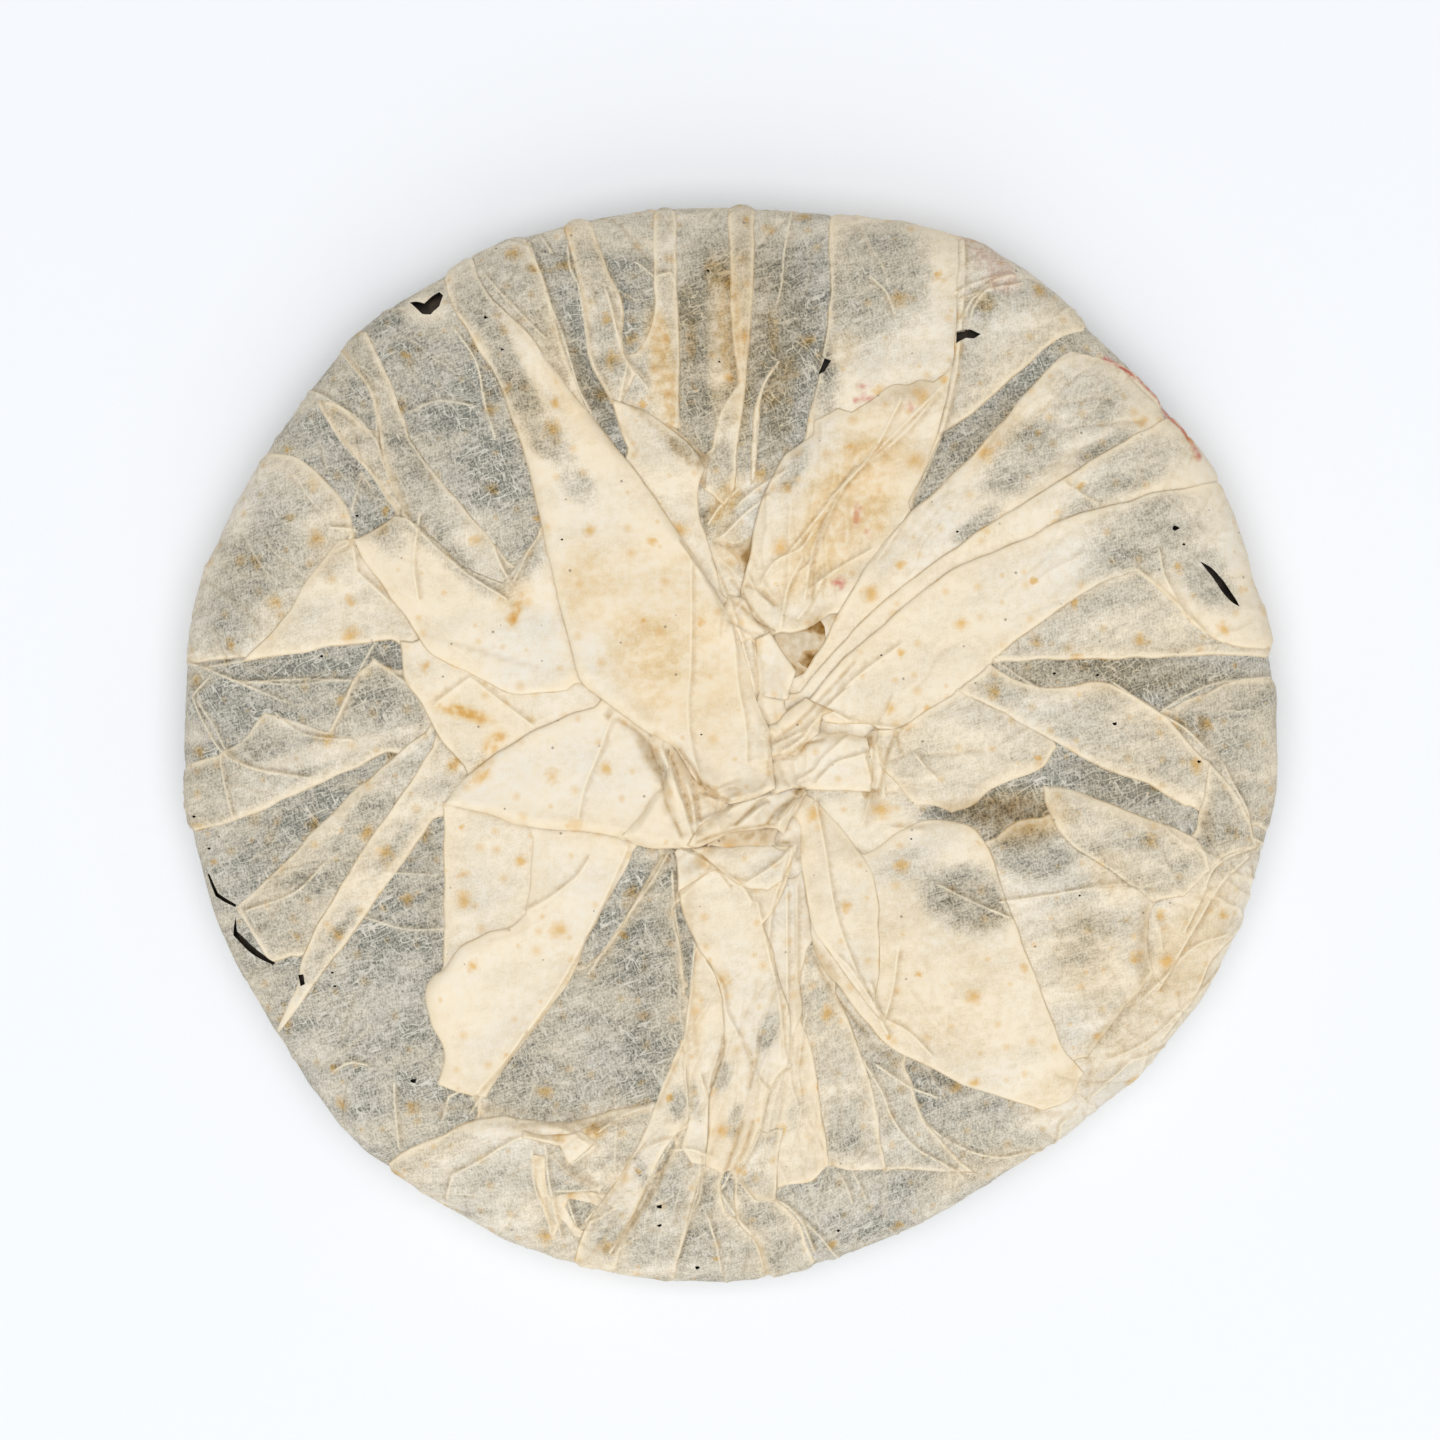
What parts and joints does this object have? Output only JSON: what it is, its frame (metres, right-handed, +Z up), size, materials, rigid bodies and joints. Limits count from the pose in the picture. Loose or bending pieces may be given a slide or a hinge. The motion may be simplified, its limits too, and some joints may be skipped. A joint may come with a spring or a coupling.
{
  "type": "pu erh tea cake in its tissue wrapper",
  "caption": "Pressed round cake of dark tea in a pleated tissue-paper wrapper, lying with its gathered and creased back up.",
  "frame": {"origin": "middle of the flat face that the cake rests on, on the axis of its circle", "axes": "+Z up through the cake, from its smooth front, which lies down, to its gathered back; +Y is the top of the picture"},
  "size_m": [0.2041, 0.2005, 0.0279],
  "materials": {
    "pressed_tea": "rough, matt pressed leaves",
    "tissue_paper": "thin uncoated long-fibre tissue, aged cream"
  },
  "bodies": {
    "root": {"tea_cake": "pressed_tea", "paper_wrapper": "tissue_paper"}
  },
  "joints": []
}
